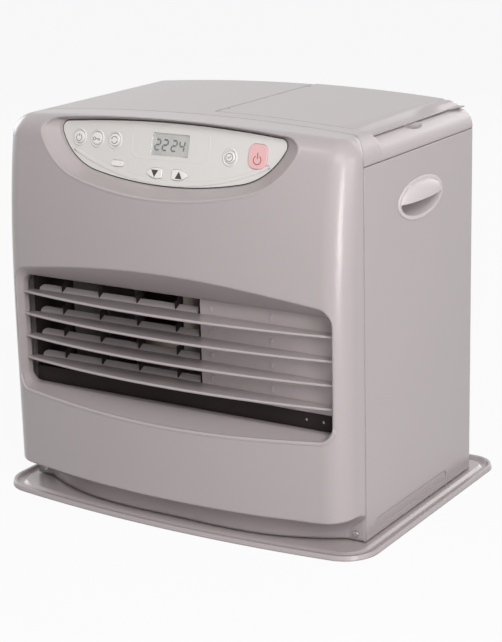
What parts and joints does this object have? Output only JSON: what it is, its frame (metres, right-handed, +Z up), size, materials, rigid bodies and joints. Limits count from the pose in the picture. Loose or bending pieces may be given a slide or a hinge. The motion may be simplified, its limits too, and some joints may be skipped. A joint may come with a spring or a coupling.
{
  "type": "portable paraffin heater",
  "caption": "Portable electronic paraffin heater: bowed steel cabinet on a drip tray, warm-air louvre, tilted control panel, hinged fuel lid over a cartridge tank.",
  "frame": {"origin": "middle of the drip tray's outline, on the floor", "axes": "+X to the heater's left-to-right as seen from the front, +Y from the front to the back, +Z up"},
  "size_m": [0.47, 0.351, 0.4349],
  "materials": {
    "shell_paint": "pearl metallic paint",
    "grip_plastic": "moulded, colour-matched",
    "zinc_sheet": "zinc-plated sheet",
    "dark_sheet": "heat-proof dark paint",
    "burner_steel": "heat-resisting steel",
    "electrode": "steel rod in ceramic",
    "screw_steel": "plated",
    "rubber": "matt",
    "black_plastic": "moulded",
    "filter_plastic": "frame with fine mesh",
    "motor_metal": "plain",
    "copper": "drawn copper pipe",
    "tank_steel": "light grey paint",
    "handle_steel": "plated rod with plastic sleeve",
    "cap_plastic": "moulded",
    "strainer": "moulded with fine mesh",
    "board": "circuit board",
    "bezel_plastic": "satin off-white",
    "button_plastic": "satin",
    "power_plastic": "satin pinkish red",
    "lens": "clear",
    "display": "liquid crystal grey"
  },
  "bodies": {
    "cabinet": {"tray": "shell_paint", "tray_feet": "rubber", "body_pads": "rubber", "chassis_plate": "zinc_sheet", "side_panel_right": "shell_paint", "side_panel_left": "shell_paint", "side_grip_right": "grip_plastic", "side_grip_left": "grip_plastic", "rear_panel": "zinc_sheet", "top_cover": "shell_paint", "front_panel": "shell_paint", "front_screws": "screw_steel", "inner_blades": "dark_sheet", "blade_combs": "dark_sheet", "baffle_plate": "dark_sheet", "sill_plate": "dark_sheet", "outlet_duct": "zinc_sheet", "combustion_chamber": "burner_steel", "burner_pot": "burner_steel", "flame_ring": "burner_steel", "igniter": "electrode", "flame_sensor": "electrode", "burner_support": "zinc_sheet", "blower_housing": "zinc_sheet", "blower_motor": "motor_metal", "fan_shroud": "zinc_sheet", "fan_motor": "motor_metal", "fan_guard": "black_plastic", "filter_rails": "black_plastic", "room_sensor": "black_plastic", "cord_gland": "rubber", "tank_well": "zinc_sheet", "sump_tank": "zinc_sheet", "fuel_strainer": "strainer", "fuel_pump": "motor_metal", "fuel_pipe": "copper", "main_board": "board", "control_bezel": "bezel_plastic", "display_lens": "lens", "display_module": "display", "control_board": "board", "outer_slat_1": "shell_paint", "outer_slat_2": "shell_paint", "outer_slat_3": "shell_paint", "outer_slat_4": "shell_paint"},
    "fuel_lid": {"fuel_lid": "shell_paint"},
    "tank": {"fuel_tank": "tank_steel"},
    "handle": {"tank_handle": "handle_steel"},
    "cap": {"tank_cap": "cap_plastic"},
    "fan": {"fan_rotor": "black_plastic"},
    "blower": {"blower_rotor": "black_plastic"},
    "filter": {"air_filter": "filter_plastic"},
    "button_round_1": {"button_round_1": "button_plastic"},
    "button_round_2": {"button_round_2": "button_plastic"},
    "button_round_3": {"button_round_3": "button_plastic"},
    "button_oblong": {"button_oblong": "button_plastic"},
    "button_down": {"button_down": "button_plastic"},
    "button_up": {"button_up": "button_plastic"},
    "button_timer": {"button_timer": "button_plastic"},
    "button_power": {"button_power": "power_plastic"}
  },
  "joints": [
    {"name": "lid_hinge", "type": "hinge", "parent": "cabinet", "child": "fuel_lid", "pos_m": [0.0174, 0.0335, 0.43265], "axis": [0, -1, 0], "range_deg": [0, 95]},
    {"name": "tank_lift", "type": "slide", "parent": "cabinet", "child": "tank", "axis": [0, 0, 1], "range_m": [0, 0.05]},
    {"name": "handle_swing", "type": "hinge", "parent": "tank", "child": "handle", "pos_m": [0.121, 0.0345, 0.3698], "axis": [-1, 0, 0], "range_deg": [0, 180]},
    {"name": "cap_turn", "type": "hinge", "parent": "tank", "child": "cap", "pos_m": [0.121, 0.0345, 0.0835], "axis": [0, 0, 1], "range_deg": [0, 90]},
    {"name": "fan_spin", "type": "hinge", "parent": "cabinet", "child": "fan", "pos_m": [-0.08, 0.1135, 0.2405], "axis": [0, 1, 0], "continuous": true},
    {"name": "blower_spin", "type": "hinge", "parent": "cabinet", "child": "blower", "pos_m": [-0.08, 0.0075, 0.0305], "axis": [0, 0, 1], "continuous": true},
    {"name": "filter_lift", "type": "slide", "parent": "cabinet", "child": "filter", "axis": [0, 0, 1], "range_m": [0, 0.17]},
    {"name": "button_round_1_press", "type": "slide", "parent": "cabinet", "child": "button_round_1", "axis": [0, 0.9668, -0.2554], "range_m": [0, 0.001], "stiffness_N_per_m": 1500},
    {"name": "button_round_2_press", "type": "slide", "parent": "cabinet", "child": "button_round_2", "axis": [0, 0.9668, -0.2554], "range_m": [0, 0.001], "stiffness_N_per_m": 1500},
    {"name": "button_round_3_press", "type": "slide", "parent": "cabinet", "child": "button_round_3", "axis": [0, 0.9668, -0.2554], "range_m": [0, 0.001], "stiffness_N_per_m": 1500},
    {"name": "button_oblong_press", "type": "slide", "parent": "cabinet", "child": "button_oblong", "axis": [0, 0.9668, -0.2554], "range_m": [0, 0.001], "stiffness_N_per_m": 1500},
    {"name": "button_down_press", "type": "slide", "parent": "cabinet", "child": "button_down", "axis": [0, 0.9668, -0.2554], "range_m": [0, 0.001], "stiffness_N_per_m": 1500},
    {"name": "button_up_press", "type": "slide", "parent": "cabinet", "child": "button_up", "axis": [0, 0.9668, -0.2554], "range_m": [0, 0.001], "stiffness_N_per_m": 1500},
    {"name": "button_timer_press", "type": "slide", "parent": "cabinet", "child": "button_timer", "axis": [0, 0.9668, -0.2554], "range_m": [0, 0.001], "stiffness_N_per_m": 1500},
    {"name": "button_power_press", "type": "slide", "parent": "cabinet", "child": "button_power", "axis": [0, 0.9668, -0.2554], "range_m": [0, 0.001], "stiffness_N_per_m": 1500}
  ]
}
